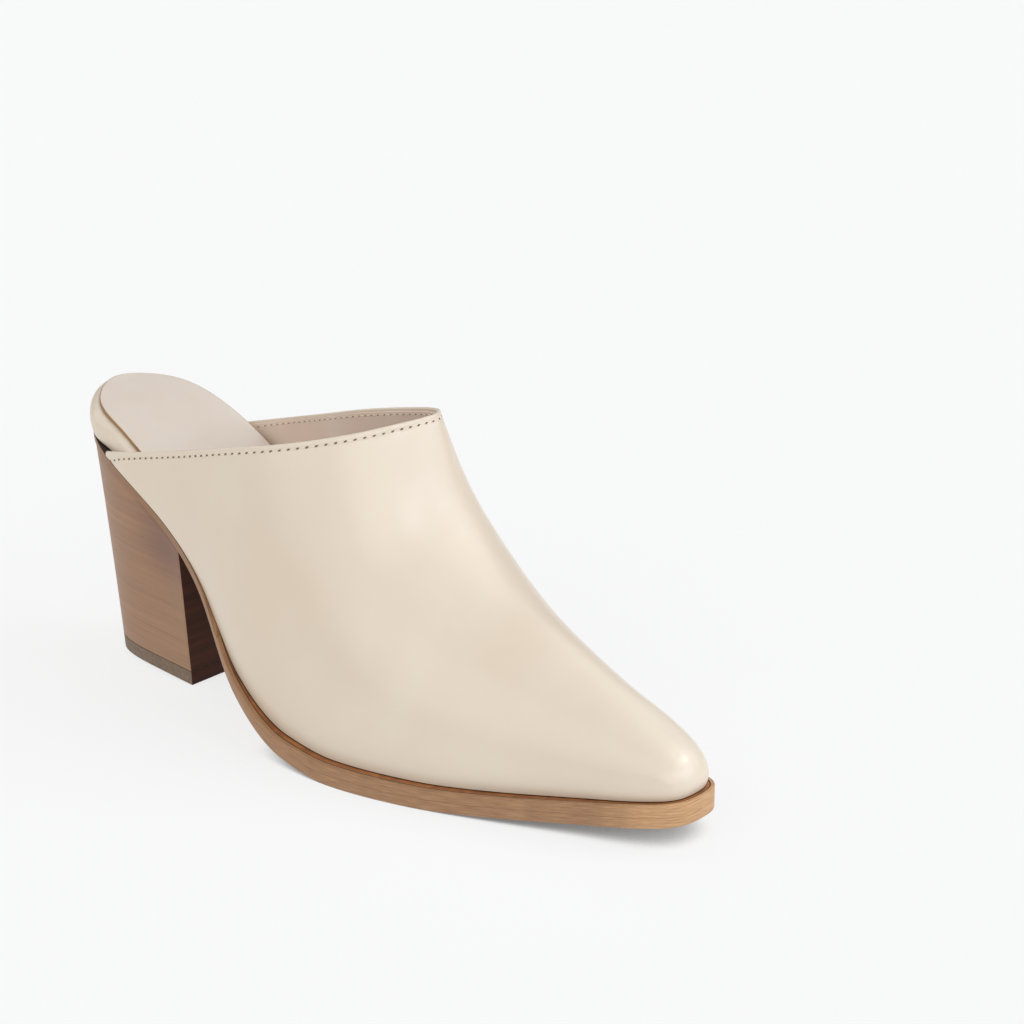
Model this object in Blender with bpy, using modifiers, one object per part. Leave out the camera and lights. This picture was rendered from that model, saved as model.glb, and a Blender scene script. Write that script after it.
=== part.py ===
"""Heeled mule, right shoe, in metres, toe towards +X, inner side towards +Y, +Z up.

The last is a stack of sections from the toe tip back to the heel. Each section runs from the feather
line, where the upper meets the sole, up to the ridge over the foot. The soles, the footbed, the heel
and the upper are all worked out from those sections.
"""

import math

import bmesh
import bpy
import numpy as np

# Driving sizes of the last
LENGTH = 0.249
BALL_WIDTH = 0.0733
HEEL_RISE = 0.0810
TOE_SPRING = 0.0074
THROAT_HEIGHT = 0.1055

# Layers and their clearances
UPPER_WALL = 0.0018
GAP = 0.0003
OUTSOLE_FRONT = 0.0035
OUTSOLE_SEAT = 0.0023
MIDSOLE_FRONT = 0.0032
MIDSOLE_TOE = 0.0038
MIDSOLE_SKIVE = 0.0007
LEDGE = 0.0036
TOE_TUCK = 0.0010
SEAT_RECESS = 0.0002
FOOTBED_RIM = 0.0088
FOOTBED_BACK = 0.0074
FOOTBED_FRONT = 0.0030
SOCK_THICKNESS = 0.0010
SOCK_RIM_INSET = 0.0026
REAR_EDGE = 0.0016

# Heel block and lift
LIFT_THICKNESS = 0.0050
HEEL_TOP_INSET = 0.0004
HEEL_BREAST_TOP = 0.0630
HEEL_BREAST_FOOT = 0.0576
HEEL_BACK_FOOT = 0.0098
HEEL_FOOT_WIDTH = 0.0372
HEEL_FOOT_SHIFT = -0.0019

# The last's sections, toe tip first. Columns: x and y of the outer feather point, x and y of the inner
# one, x, y and z of the ridge, outward lean of the wall in degrees. The x are shares of LENGTH, the y
# of BALL_WIDTH and the ridge's z of THROAT_HEIGHT.
SECTION_COLUMNS = ("x_out", "y_out", "x_in", "y_in", "x_ridge", "y_ridge", "z_ridge", "lean")
SECTIONS = (
    (1.007, 0.064, 1.007, 0.064, 0.949, 0.080, 0.304, 22),
    (1.002, -0.024, 1.003, 0.151, 0.946, 0.080, 0.307, 22),
    (0.972, -0.100, 0.978, 0.218, 0.927, 0.082, 0.326, 21),
    (0.901, -0.186, 0.906, 0.274, 0.870, 0.090, 0.375, 18),
    (0.800, -0.314, 0.810, 0.353, 0.785, 0.100, 0.454, 14),
    (0.700, -0.442, 0.720, 0.434, 0.687, 0.115, 0.565, 11),
    (0.600, -0.527, 0.625, 0.456, 0.603, 0.145, 0.757, 9),
    (0.500, -0.544, 0.515, 0.387, 0.555, 0.180, 1.000, 8),
    (0.400, -0.514, 0.405, 0.321, 0.465, 0.165, 1.310, 8),
    (0.300, -0.420, 0.300, 0.335, 0.340, 0.100, 1.480, 8),
    (0.200, -0.387, 0.200, 0.375, 0.220, 0.030, 1.600, 7),
    (0.100, -0.364, 0.100, 0.327, 0.110, 0.000, 1.660, 5),
    (0.030, -0.209, 0.030, 0.207, 0.040, 0.000, 1.680, 5),
    (0.000, 0.000, 0.000, 0.000, 0.000, 0.000, 1.680, 5),
)

# Topline in side view, rear end to throat: way along it, and rise along it, both as shares.
TOPLINE = ((0.0, 0.0), (0.15, 0.145), (0.30, 0.308), (0.45, 0.48), (0.58, 0.627), (0.70, 0.742),
           (0.83, 0.857), (0.92, 0.938), (1.0, 1.0))
THROAT_SECTION = 7
REAR_PLACE_OUT = 0.112
REAR_PLACE_IN = 0.134

# Underside of the sole behind the tread: x as shares of LENGTH, height as shares of HEEL_RISE.
ARCH = ((0.0, 1.0), (0.1, 0.918), (0.2, 0.752), (0.3, 0.53), (0.4, 0.215), (0.5, 0.038), (0.58, 0.0))
TREAD_FRONT = 0.70
SPRING_POWER = 1.45
MIDSOLE_REAR = 0.36

# Shape of the sections and of the rounded edges
WALL_HANDLE = 0.55
CROWN_HANDLE_OUT = 0.50
CROWN_HANDLE_IN = 0.58
TOE_TURN = 0.22
RIM_ROUND = 0.0032
RIM_TUCK = 0.0014
HEEL_ROUND_POWER = 7.0
HEEL_TAPER = 0.22

# Mesh fineness
FRONT_STATIONS = 22
REAR_STATIONS = 24
SEAT_STATIONS = 12
WALL_ROWS = 14
HEEL_STATIONS = 14
HEEL_LEVELS = 6
RIM_LEVELS = 7


def smooth_curve(knots, values):
    """Cubic curve of even curvature through the rows of values, at the given knots."""
    knots = np.asarray(knots, float)
    values = np.asarray(values, float)
    count = len(knots)
    step = np.diff(knots)
    system = np.eye(count)
    right = np.zeros_like(values)
    for i in range(1, count - 1):
        system[i, i - 1:i + 2] = (step[i - 1], 2 * (step[i - 1] + step[i]), step[i])
        right[i] = 6 * ((values[i + 1] - values[i]) / step[i] - (values[i] - values[i - 1]) / step[i - 1])
    bend = np.linalg.solve(system, right)

    def read(at):
        at = np.atleast_1d(np.asarray(at, float))
        i = np.clip(np.searchsorted(knots, at, side="right") - 1, 0, count - 2)
        gap = step[i][:, None]
        a = (knots[i + 1] - at)[:, None] / gap
        b = 1 - a
        curved = ((a ** 3 - a) * bend[i] + (b ** 3 - b) * bend[i + 1]) * gap ** 2 / 6
        return a * values[i] + b * values[i + 1] + curved

    return read


def level_curve(points):
    """Curve through (place, value) points that never overshoots them."""
    knots, values = np.array(points, float).T
    step = np.diff(knots)
    slope = np.diff(values) / step
    tangent = np.zeros(len(knots))
    for i in range(1, len(knots) - 1):
        if slope[i - 1] * slope[i] > 0:
            before = 2 * step[i] + step[i - 1]
            after = step[i] + 2 * step[i - 1]
            tangent[i] = (before + after) / (before / slope[i - 1] + after / slope[i])
    tangent[0] = slope[0]

    def read(at):
        at = np.clip(np.asarray(at, float), knots[0], knots[-1])
        i = np.clip(np.searchsorted(knots, at, side="right") - 1, 0, len(step) - 1)
        t = (at - knots[i]) / step[i]
        start = (2 * t ** 3 - 3 * t ** 2 + 1) * values[i] + (t ** 3 - 2 * t ** 2 + t) * step[i] * tangent[i]
        end = (3 * t ** 2 - 2 * t ** 3) * values[i + 1] + (t ** 3 - t ** 2) * step[i] * tangent[i + 1]
        return start + end

    return read


def ramp(x, start, end):
    """Eased step from 0 at start to 1 at end, both as shares of LENGTH."""
    t = np.clip((np.asarray(x, float) / LENGTH - start) / (end - start), 0, 1)
    return t * t * (3 - 2 * t)


def column(name, size=1.0):
    place = SECTION_COLUMNS.index(name)
    return np.array([row[place] for row in SECTIONS]) * size


def outline_parts():
    """Way back along the last for each section, and the feather outline as a closed curve."""
    outer = np.stack([column("x_out", LENGTH), column("y_out", BALL_WIDTH)], 1)
    inner = np.stack([column("x_in", LENGTH), column("y_in", BALL_WIDTH)], 1)
    chords = [np.linalg.norm(np.diff(side, axis=0), axis=1) for side in (outer, inner)]
    way = np.concatenate([[0], np.cumsum(sum(chords))])
    way = way / way[-1]
    ring = np.vstack([outer[::-1], inner[1:-1]])
    knots = np.concatenate([-way[::-1], way[1:-1]])
    lap = 4
    ring = np.vstack([ring[-lap:], ring, ring[:lap + 1]])
    knots = np.concatenate([knots[-lap:] - 2, knots, knots[:lap + 1] + 2])
    return way, smooth_curve(knots, ring)


WAY, FEATHER = outline_parts()
RIDGE_ROWS = np.stack([column("x_ridge", LENGTH), column("y_ridge", BALL_WIDTH),
                       column("z_ridge", THROAT_HEIGHT), np.radians(column("lean"))], 1)
RIDGE = smooth_curve(np.concatenate([-WAY[::-1], WAY[1:]]), np.vstack([RIDGE_ROWS[::-1], RIDGE_ROWS[1:]]))
ARCH_CURVE = level_curve(ARCH)
TOPLINE_CURVE = level_curve(TOPLINE)


def outline(way, offset=0.0):
    """Feather outline in plan at signed ways (outer side negative), moved outwards by offset."""
    way = np.asarray(way, float)
    nudge = 1e-4
    along = FEATHER(way + nudge) - FEATHER(way - nudge)
    along /= np.linalg.norm(along, axis=1)[:, None]
    outward = np.stack([along[:, 1], -along[:, 0]], 1)
    plan = FEATHER(way)
    amount = offset(plan[:, 0]) if callable(offset) else np.full(len(way), offset)
    return plan + outward * amount[:, None]


def way_at(x, side):
    """Way back along one side of the outline where it reaches x."""
    ways = np.linspace(0.02, 0.999, 800)
    reached = outline(side * ways)[:, 0]
    return float(np.interp(-x, -reached, ways))


def underside(x):
    spring = np.clip((x / LENGTH - TREAD_FRONT) / (1 - TREAD_FRONT), 0, None)
    return ARCH_CURVE(x / LENGTH) * HEEL_RISE + TOE_SPRING * spring ** SPRING_POWER


def outsole_top(x):
    return underside(x) + OUTSOLE_SEAT + (OUTSOLE_FRONT - OUTSOLE_SEAT) * ramp(x, 0.05, 0.42)


def midsole_thickness(x):
    full = MIDSOLE_FRONT + (MIDSOLE_TOE - MIDSOLE_FRONT) * ramp(x, 0.80, 1.0)
    return MIDSOLE_SKIVE + (full - MIDSOLE_SKIVE) * ramp(x, MIDSOLE_REAR, 0.58)


def seat(x):
    """Height of the surface that the upper and the footbed stand on, with its clearance."""
    shown = ramp(x, MIDSOLE_REAR - 0.03, MIDSOLE_REAR)
    return outsole_top(x) + shown * (GAP + midsole_thickness(x)) + GAP


def sole_edge(x):
    """How far the sole stands out past the feather line."""
    full = LEDGE * ramp(x, 0.22, 0.50) - TOE_TUCK * ramp(x, 0.80, 0.98)
    return full - SEAT_RECESS * (1 - ramp(x, 0.04, 0.20))


def footbed_edge(x):
    inside = UPPER_WALL + 2 * GAP
    return -inside * ramp(x, 0.070, 0.108)


def footbed_thickness(x):
    back = (FOOTBED_RIM - FOOTBED_BACK) * (1 - ramp(x, 0.0, 0.14))
    return FOOTBED_RIM - back + (FOOTBED_FRONT - FOOTBED_RIM) * ramp(x, 0.22, 0.52)


def sock_edge(x):
    return footbed_edge(x) - SOCK_RIM_INSET + (SOCK_RIM_INSET - 2 * GAP) * ramp(x, 0.12, 0.24)


def sides(ways, offset, height):
    """Outer and inner run of points along the last, at one height rule."""
    runs = []
    for side, side_ways in zip((-1, 1), ways):
        plan = outline(side * side_ways, offset)
        runs.append(np.column_stack([plan, height(plan[:, 0])]))
    return runs


def new_object(name, mesh, material):
    obj = bpy.data.objects.new(name, mesh)
    obj.data.materials.append(material)
    return obj


def layered_solid(name, levels, material):
    """Closed solid from levels, bottom to top, each an outer and an inner run of points."""
    work = bmesh.new()
    grid = [[[work.verts.new(p) for p in run] for run in level] for level in levels]
    last = len(levels[0][0]) - 1
    for low, high in zip(grid, grid[1:]):
        for side in (0, 1):
            for i in range(last):
                work.faces.new((low[side][i], low[side][i + 1], high[side][i + 1], high[side][i]))
        for i in (0, last):
            work.faces.new((low[0][i], low[1][i], high[1][i], high[0][i]))
    for level in (grid[0], grid[-1]):
        for i in range(last):
            work.faces.new((level[0][i], level[0][i + 1], level[1][i + 1], level[1][i]))
    bmesh.ops.remove_doubles(work, verts=work.verts, dist=1e-6)
    bmesh.ops.recalc_face_normals(work, faces=work.faces)
    mesh = bpy.data.meshes.new(name)
    work.to_mesh(mesh)
    work.free()
    mesh.shade_smooth()
    mesh.set_sharp_from_angle(angle=math.radians(40))
    return new_object(name, mesh, material)


def plate(name, ways, offset, low, high, material):
    return layered_solid(name, [sides(ways, offset, low), sides(ways, offset, high)], material)


def stations(side):
    """Ways that the pieces share: toe to throat, throat to the upper's rear end, and heel seat.

    They lie close together at the toe tip, behind the throat and round the heel.
    """
    throat = WAY[THROAT_SECTION]
    rear = way_at(rear_place(side), side)
    front = throat * np.linspace(0, 1, FRONT_STATIONS) ** 1.5
    spread = np.linspace(0, 1, REAR_STATIONS + 1)[1:]
    behind = throat + (rear - throat) * (0.45 * spread + 0.55 * spread ** 2)
    round_heel = np.linspace(rear, 1, SEAT_STATIONS + 1)[1:]
    return front, behind, round_heel


def sole_ways():
    """All stations of the outer side and of the inner side."""
    return [np.concatenate(stations(side)) for side in (-1, 1)]


def outsole(material):
    return plate("outsole", sole_ways(), sole_edge, underside, outsole_top, material)


def midsole(material):
    ways = sole_ways()
    reach = [outline(side * side_ways)[:, 0] for side, side_ways in zip((-1, 1), ways)]
    count = min(int(np.sum(x > MIDSOLE_REAR * LENGTH)) for x in reach)
    ways = [side_ways[:count] for side_ways in ways]
    return plate("midsole", ways, sole_edge, lambda x: outsole_top(x) + GAP,
                 lambda x: outsole_top(x) + GAP + midsole_thickness(x), material)


def insole(material):
    """Footbed with a rim that is round where it shows at the heel and thin inside the upper."""
    ways = sole_ways()
    levels = []
    for turn in np.linspace(-math.pi / 2, math.pi / 2, RIM_LEVELS):
        def edge(x, turn=turn):
            radius = (RIM_ROUND if turn > 0 else RIM_TUCK) * footbed_thickness(x) / FOOTBED_RIM
            return footbed_edge(x) - radius * (1 - math.cos(turn))

        def height(x, turn=turn):
            return seat(x) + footbed_thickness(x) * (1 + math.sin(turn)) / 2

        levels.append(sides(ways, edge, height))
    return layered_solid("insole", levels, material)


def sock(material):
    def low(x):
        return seat(x) + footbed_thickness(x) + GAP

    return plate("sock", sole_ways(), sock_edge, low, lambda x: low(x) + SOCK_THICKNESS, material)


def section(way, shares):
    """Points of the outer surface over one feather point, at shares of the way up to the ridge."""
    foot = np.append(outline([way])[0], 0)
    foot[2] = seat(foot[0])
    x, y, z, lean = RIDGE([abs(way)])[0]
    top = np.array([x, y, z])
    back = RIDGE([abs(way) + 0.01])[0]
    slope = (back[2] - z) / (back[0] - x)
    out = foot[:2] - top[:2]
    reach = np.linalg.norm(out)
    out = out / reach
    across = np.array([out[0] * (1 - np.clip(abs(way) / TOE_TURN, 0, 1)) ** 2, out[1]])
    across = across / np.linalg.norm(across)
    rise = top[2] - foot[2]
    crown = CROWN_HANDLE_OUT + (CROWN_HANDLE_IN - CROWN_HANDLE_OUT) * (0.5 + 0.5 * np.clip(way * 6, -1, 1))
    upward = np.array([out[0] * math.sin(lean), out[1] * math.sin(lean), math.cos(lean)])
    wall = foot + upward * rise * WALL_HANDLE
    roof = top + np.array([across[0], across[1], slope * across[0]]) * reach * crown
    s = np.asarray(shares, float)[:, None]
    return (1 - s) ** 3 * foot + 3 * (1 - s) ** 2 * s * wall + 3 * (1 - s) * s ** 2 * roof + s ** 3 * top


def rear_place(side):
    """Where the upper ends at the back, on the outer (-1) or inner (1) side."""
    return (REAR_PLACE_OUT if side < 0 else REAR_PLACE_IN) * LENGTH


def topline(x, side):
    """Height of the upper's top edge in side view, from its rear end to the throat."""
    rear_x = rear_place(side)
    throat_x = RIDGE_ROWS[THROAT_SECTION, 0]
    rear_z = seat(rear_x) + REAR_EDGE
    along = np.clip((x - rear_x) / (throat_x - rear_x), 0, 1)
    return rear_z + (THROAT_HEIGHT - rear_z) * TOPLINE_CURVE(along)


def cut_share(way):
    """Share of a section at which the topline cuts it."""
    shares = np.linspace(0, 1, 400)
    points = section(way, shares)
    over = points[:, 2] - topline(points[:, 0], math.copysign(1, way))
    above = np.nonzero(over > 0)[0]
    if len(above) == 0 or above[0] == 0:
        return 1.0
    i = above[0]
    return float(shares[i - 1] + (shares[i] - shares[i - 1]) * over[i - 1] / (over[i - 1] - over[i]))


def upper(material):
    """Vamp as an open surface from feather line to ridge or topline, made a wall by Solidify."""
    work = bmesh.new()
    ridge = {}
    runs = {}
    for side in (-1, 1):
        front, behind, _ = stations(side)
        columns = []
        for i, way in enumerate(np.concatenate([front, behind])):
            joined = i < FRONT_STATIONS
            share = 1.0 if joined else cut_share(side * way)
            points = section(side * way, np.linspace(0, share, WALL_ROWS + 1))
            if side == 1 and i == 0:
                columns.append(runs[-1][0])
                continue
            verts = [work.verts.new(p) for p in (points[:-1] if joined else points)]
            if joined:
                if i not in ridge:
                    ridge[i] = work.verts.new(points[-1])
                verts.append(ridge[i])
            columns.append(verts)
        runs[side] = columns
    for side, columns in runs.items():
        for near, far in zip(columns, columns[1:]):
            for j in range(WALL_ROWS):
                face = (near[j], near[j + 1], far[j + 1], far[j])
                work.faces.new(face[::-1] if side == 1 else face)
    mesh = bpy.data.meshes.new("upper")
    work.to_mesh(mesh)
    work.free()
    mesh.shade_smooth()
    obj = new_object("upper", mesh, material)
    wall = obj.modifiers.new("wall", "SOLIDIFY")
    wall.thickness = UPPER_WALL
    wall.offset = -1
    wall.use_quality_normals = True
    return obj


def heel_plan(ways, share):
    """Plan of the heel at a share of its height: 0 on the floor, 1 under the sole."""
    runs = []
    for side, side_ways in zip((-1, 1), ways):
        top = outline(side * side_ways, lambda x: sole_edge(x) - HEEL_TOP_INSET)
        x_back = top[-1, 0]
        along = (top[:, 0] - x_back) / (top[0, 0] - x_back)
        foot_x = HEEL_BACK_FOOT + along * (HEEL_BREAST_FOOT - HEEL_BACK_FOOT)
        round_off = np.sqrt(np.clip(1 - (1 - along) ** HEEL_ROUND_POWER, 0, 1))
        narrowing = 1 - HEEL_TAPER * (1 - along)
        foot_y = HEEL_FOOT_SHIFT + side * HEEL_FOOT_WIDTH / 2 * round_off * narrowing
        runs.append(np.stack([foot_x, foot_y], 1) * (1 - share) + top * share)
    return runs


def heel_ways():
    turn = np.linspace(0, math.pi / 2, HEEL_STATIONS)
    breasts = [way_at(HEEL_BREAST_TOP, side) for side in (-1, 1)]
    return [breast + (1 - breast) * np.sin(turn) for breast in breasts]


def heel_level(share, height):
    ways = heel_ways()
    return [np.column_stack([plan, height(plan[:, 0])]) for plan in heel_plan(ways, share)]


def heel_block(material):
    floor = LIFT_THICKNESS + GAP
    low_share = floor / HEEL_RISE
    levels = []
    for share in np.linspace(low_share, 1, HEEL_LEVELS):
        rise = (share - low_share) / (1 - low_share)
        top = heel_level(1.0, lambda x: underside(x) - GAP)
        level = heel_level(share, lambda x: np.full(len(x), floor))
        for run, roof in zip(level, top):
            run[:, 2] += rise * (roof[:, 2] - floor)
        levels.append(level)
    return layered_solid("heel_block", levels, material)


def top_lift(material):
    levels = [heel_level(z / HEEL_RISE, lambda x, z=z: np.full(len(x), z)) for z in (0.0, LIFT_THICKNESS)]
    return layered_solid("top_lift", levels, material)


def finish(name, red, green, blue, roughness):
    material = bpy.data.materials.new(name)
    material.use_nodes = True
    surface = material.node_tree.nodes["Principled BSDF"]
    surface.inputs["Base Color"].default_value = (red, green, blue, 1)
    surface.inputs["Roughness"].default_value = roughness
    surface.inputs["Metallic"].default_value = 0.0
    return material


def build():
    for obj in list(bpy.data.objects):
        bpy.data.objects.remove(obj, do_unlink=True)
    collection = bpy.data.collections.new("heeled_mule")
    bpy.context.scene.collection.children.link(collection)
    pieces = [
        upper(finish("cream leather", 0.76, 0.67, 0.55, 0.42)),
        midsole(finish("sole leather, upper layer", 0.50, 0.29, 0.13, 0.5)),
        outsole(finish("sole leather, lower layer", 0.46, 0.26, 0.12, 0.5)),
        insole(finish("cream leather rim", 0.76, 0.67, 0.55, 0.42)),
        sock(finish("beige liner leather", 0.66, 0.57, 0.50, 0.55)),
        heel_block(finish("stacked leather", 0.30, 0.18, 0.11, 0.5)),
        top_lift(finish("brown rubber", 0.16, 0.11, 0.07, 0.6)),
    ]
    corners = np.array([vertex.co for piece in pieces for vertex in piece.data.vertices])
    middle = (corners.min(axis=0) + corners.max(axis=0)) / 2
    centre = bpy.data.objects.new("centre", None)
    centre.location = (-middle[0], -middle[1], 0)
    collection.objects.link(centre)
    for piece in pieces:
        collection.objects.link(piece)
        piece.parent = centre


build()
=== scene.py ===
import math

import bmesh
import bpy
import numpy as np
from mathutils import Matrix, Vector
from mathutils.kdtree import KDTree


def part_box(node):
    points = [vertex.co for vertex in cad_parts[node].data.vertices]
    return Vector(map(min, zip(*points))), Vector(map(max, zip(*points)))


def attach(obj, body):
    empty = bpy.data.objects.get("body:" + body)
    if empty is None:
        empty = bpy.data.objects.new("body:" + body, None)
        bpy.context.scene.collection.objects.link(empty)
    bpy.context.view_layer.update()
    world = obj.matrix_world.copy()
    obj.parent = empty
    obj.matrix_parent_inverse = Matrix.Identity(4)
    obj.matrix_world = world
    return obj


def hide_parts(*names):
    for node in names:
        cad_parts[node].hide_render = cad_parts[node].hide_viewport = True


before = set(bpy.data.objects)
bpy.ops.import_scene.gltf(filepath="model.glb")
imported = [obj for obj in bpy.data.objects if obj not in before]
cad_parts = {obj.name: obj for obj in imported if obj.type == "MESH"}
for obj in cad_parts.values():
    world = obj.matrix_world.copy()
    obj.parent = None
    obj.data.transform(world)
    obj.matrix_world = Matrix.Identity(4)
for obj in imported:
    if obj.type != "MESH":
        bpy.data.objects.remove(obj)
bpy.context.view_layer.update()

print("frame loaded:", ", ".join(sorted(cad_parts)))

# The last the shoe is built on, in metres, toe towards +X and the inner side of the foot towards +Y
last = {
    "length": 0.249,
    "ballWidth": 0.0733,
    "heelRise": 0.0810,
    "toeSpring": 0.0074,
    "springPower": 1.45,
    "treadFront": 0.70,
    "throatHeight": 0.1055,
    "wallHandle": 0.55,         # how far each section keeps to the wall's lean
    "crownOut": 0.50,           # and how far it runs level from the ridge, on the outer side
    "crownIn": 0.58,
    "crownBlend": 6,            # how fast one gives way to the other at the toe
    "toeTurn": 0.22,
    "throatRow": 7,             # the row of sections next to the throat
    "rearOut": 0.112,           # rear ends of the upper
    "rearIn": 0.134,
    "rearEdge": 0.0016,
}
# Sections from the toe tip back. Each has x and y on the outer side, x and y on the inner side, then x, y, z
# and lean on the ridge; x as shares of length, y of ballWidth, z of throatHeight, lean in degrees
sections = (
    (1.007, 0.064, 1.007, 0.064, 0.949, 0.080, 0.304, 22),
    (1.002, -0.024, 1.003, 0.151, 0.946, 0.080, 0.307, 22),
    (0.972, -0.100, 0.978, 0.218, 0.927, 0.082, 0.326, 21),
    (0.901, -0.186, 0.906, 0.274, 0.870, 0.090, 0.375, 18),
    (0.800, -0.314, 0.810, 0.353, 0.785, 0.100, 0.454, 14),
    (0.700, -0.442, 0.720, 0.434, 0.687, 0.115, 0.565, 11),
    (0.600, -0.527, 0.625, 0.456, 0.603, 0.145, 0.757, 9),
    (0.500, -0.544, 0.515, 0.387, 0.555, 0.180, 1.000, 8),
    (0.400, -0.514, 0.405, 0.321, 0.465, 0.165, 1.310, 8),
    (0.300, -0.420, 0.300, 0.335, 0.340, 0.100, 1.480, 8),
    (0.200, -0.387, 0.200, 0.375, 0.220, 0.030, 1.600, 7),
    (0.100, -0.364, 0.100, 0.327, 0.110, 0.000, 1.660, 5),
    (0.030, -0.209, 0.030, 0.207, 0.040, 0.000, 1.680, 5),
    (0.000, 0.000, 0.000, 0.000, 0.000, 0.000, 1.680, 5),
)
toplineTable = ((0.0, 0.0), (0.15, 0.145), (0.30, 0.308), (0.45, 0.48), (0.58, 0.627), (0.70, 0.742),
                (0.83, 0.857), (0.92, 0.938), (1.0, 1.0))
archTable = ((0.0, 1.0), (0.1, 0.918), (0.2, 0.752), (0.3, 0.53), (0.4, 0.215), (0.5, 0.038), (0.58, 0.0))


def smoothCurve(knots, values):
    # cubic curve of even curvature through the rows of values
    knots = np.asarray(knots, float)
    values = np.asarray(values, float)
    step = np.diff(knots)
    count = len(knots)
    system = np.eye(count)
    right = np.zeros_like(values)
    for i in range(1, count - 1):
        system[i, i - 1:i + 2] = (step[i - 1], 2 * (step[i - 1] + step[i]), step[i])
        right[i] = 6 * ((values[i + 1] - values[i]) / step[i] - (values[i] - values[i - 1]) / step[i - 1])
    bend = np.linalg.solve(system, right)

    def read(at):
        at = np.atleast_1d(np.asarray(at, float))
        i = np.clip(np.searchsorted(knots, at, side="right") - 1, 0, count - 2)
        gap = step[i][:, None]
        a = (knots[i + 1] - at)[:, None] / gap
        b = 1 - a
        curved = ((a ** 3 - a) * bend[i] + (b ** 3 - b) * bend[i + 1]) * gap ** 2 / 6
        return a * values[i] + b * values[i + 1] + curved

    return read


def levelCurve(points):
    # curve through (place, value) points that never overshoots them
    knots, values = np.array(points, float).T
    step = np.diff(knots)
    slope = np.diff(values) / step
    tangent = np.zeros(len(knots))
    for i in range(1, len(knots) - 1):
        if slope[i - 1] * slope[i] > 0:
            before = 2 * step[i] + step[i - 1]
            after = step[i] + 2 * step[i - 1]
            tangent[i] = (before + after) / (before / slope[i - 1] + after / slope[i])
    tangent[0] = slope[0]

    def read(at):
        at = np.clip(np.asarray(at, float), knots[0], knots[-1])
        i = np.clip(np.searchsorted(knots, at, side="right") - 1, 0, len(step) - 1)
        t = (at - knots[i]) / step[i]
        start = (2 * t ** 3 - 3 * t ** 2 + 1) * values[i] + (t ** 3 - 2 * t ** 2 + t) * step[i] * tangent[i]
        end = (3 * t ** 2 - 2 * t ** 3) * values[i + 1] + (t ** 3 - t ** 2) * step[i] * tangent[i + 1]
        return start + end

    return read


def unit(vectors):
    return vectors / np.linalg.norm(vectors, axis=-1, keepdims=True)


def lineLengths(line):
    # how far along a line of points each of them lies
    return np.concatenate([[0], np.cumsum(np.linalg.norm(np.diff(line, axis=0), axis=1))])


def pointsAt(at, lengths, line):
    return np.stack([np.interp(at, lengths, line[:, k]) for k in range(3)], 1)


def ease(t):
    t = np.clip(t, 0, 1)
    return t * t * (3 - 2 * t)


def ramp(x, start, end):
    # eased step from 0 at start to 1 at end, both as shares of the last's length
    return ease((np.asarray(x, float) / last["length"] - start) / (end - start))


def featherParts():
    # way back along the last for each section, and the feather line as a closed curve
    way = lineLengths(outerRows) + lineLengths(innerRows)
    way = way / way[-1]
    ring = np.vstack([outerRows[::-1], innerRows[1:-1]])
    knots = np.concatenate([-way[::-1], way[1:-1]])
    lap = 4
    ring = np.vstack([ring[-lap:], ring, ring[:lap + 1]])
    knots = np.concatenate([knots[-lap:] - 2, knots, knots[:lap + 1] + 2])
    return way, smoothCurve(knots, ring)


sectionScales = (last["length"], last["ballWidth"]) * 3 + (last["throatHeight"], math.radians(1))
outerRows, innerRows, ridgeRows = np.split(np.array(sections) * sectionScales, (2, 4), axis=1)
sectionWays, featherCurve = featherParts()
ridgeCurve = smoothCurve(np.concatenate([-sectionWays[::-1], sectionWays[1:]]),
                         np.vstack([ridgeRows[::-1], ridgeRows[1:]]))
archCurve = levelCurve(archTable)
toplineCurve = levelCurve(toplineTable)


def outline(way, offset=0.0):
    # feather line in plan at signed ways, the outer side negative, moved outwards by offset
    way = np.asarray(way, float)
    along = unit(featherCurve(way + 1e-4) - featherCurve(way - 1e-4))
    outward = np.stack([along[:, 1], -along[:, 0]], 1)
    plan = featherCurve(way)
    amount = offset(plan[:, 0]) if callable(offset) else np.full(len(way), offset)
    return plan + outward * amount[:, None]


def wayAt(x, side):
    # the way from the toe's tip to a place x on one side
    ways = np.linspace(0.02, 0.999, 800)
    return float(np.interp(-x, -outline(side * ways)[:, 0], ways))


# Sole and footbed, in metres: sizes as in the solids they dress, with finer edges. The numbers in ramp are
# shares of the length
sole = {
    "gap": 0.0003,
    "frontThickness": 0.0035,
    "seatThickness": 0.0023,
    "ledge": 0.0036,
    "toeTuck": 0.0010,
    "seatRecess": 0.0002,
    "midFront": 0.0032,
    "midToe": 0.0038,
    "midSkive": 0.0007,
    "midRear": 0.36,
    "stations": 190,
    "rounding": 0.00030,
    "jointRounding": 0.00010,
    "rimRounding": 0.00030,
    "grooveFromRim": 0.00120,
    "grooveAtWaist": 0.00150,
    "contactShade": 0.00035,    # painted shade in dark brown along the upper's foot, where it meets the ledge
    "grooveWidth": 0.00035,
    "grooveDepth": 0.00020,
    "jointGap": 0.00002,        # the two layers all but touch
    "shadedSeat": 0.13,          # the seat's top edge is painted near black as shade up to this share of the length
}
footbed = {
    "rim": 0.0088,
    "back": 0.0074,
    "front": 0.0030,
    "rimRound": 0.0032,
    "rimTuck": 0.0009,
    "rimBulge": 0.0007,         # the cover swells a little past the feather line at the back
    "bulgeEnd": (0.055, 0.105),
    "levels": 19,
    "wall": 0.0018,
    "sockThickness": 0.0010,
    "sockInset": 0.0026,
    "sockWaist": 0.0024,        # drawn in behind the upper's rear ends
    "sockSpread": 0.0019,       # and wider again inside the upper
    "sockRound": 0.00035,
    "sockCrown": 0.00008,
}


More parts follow.
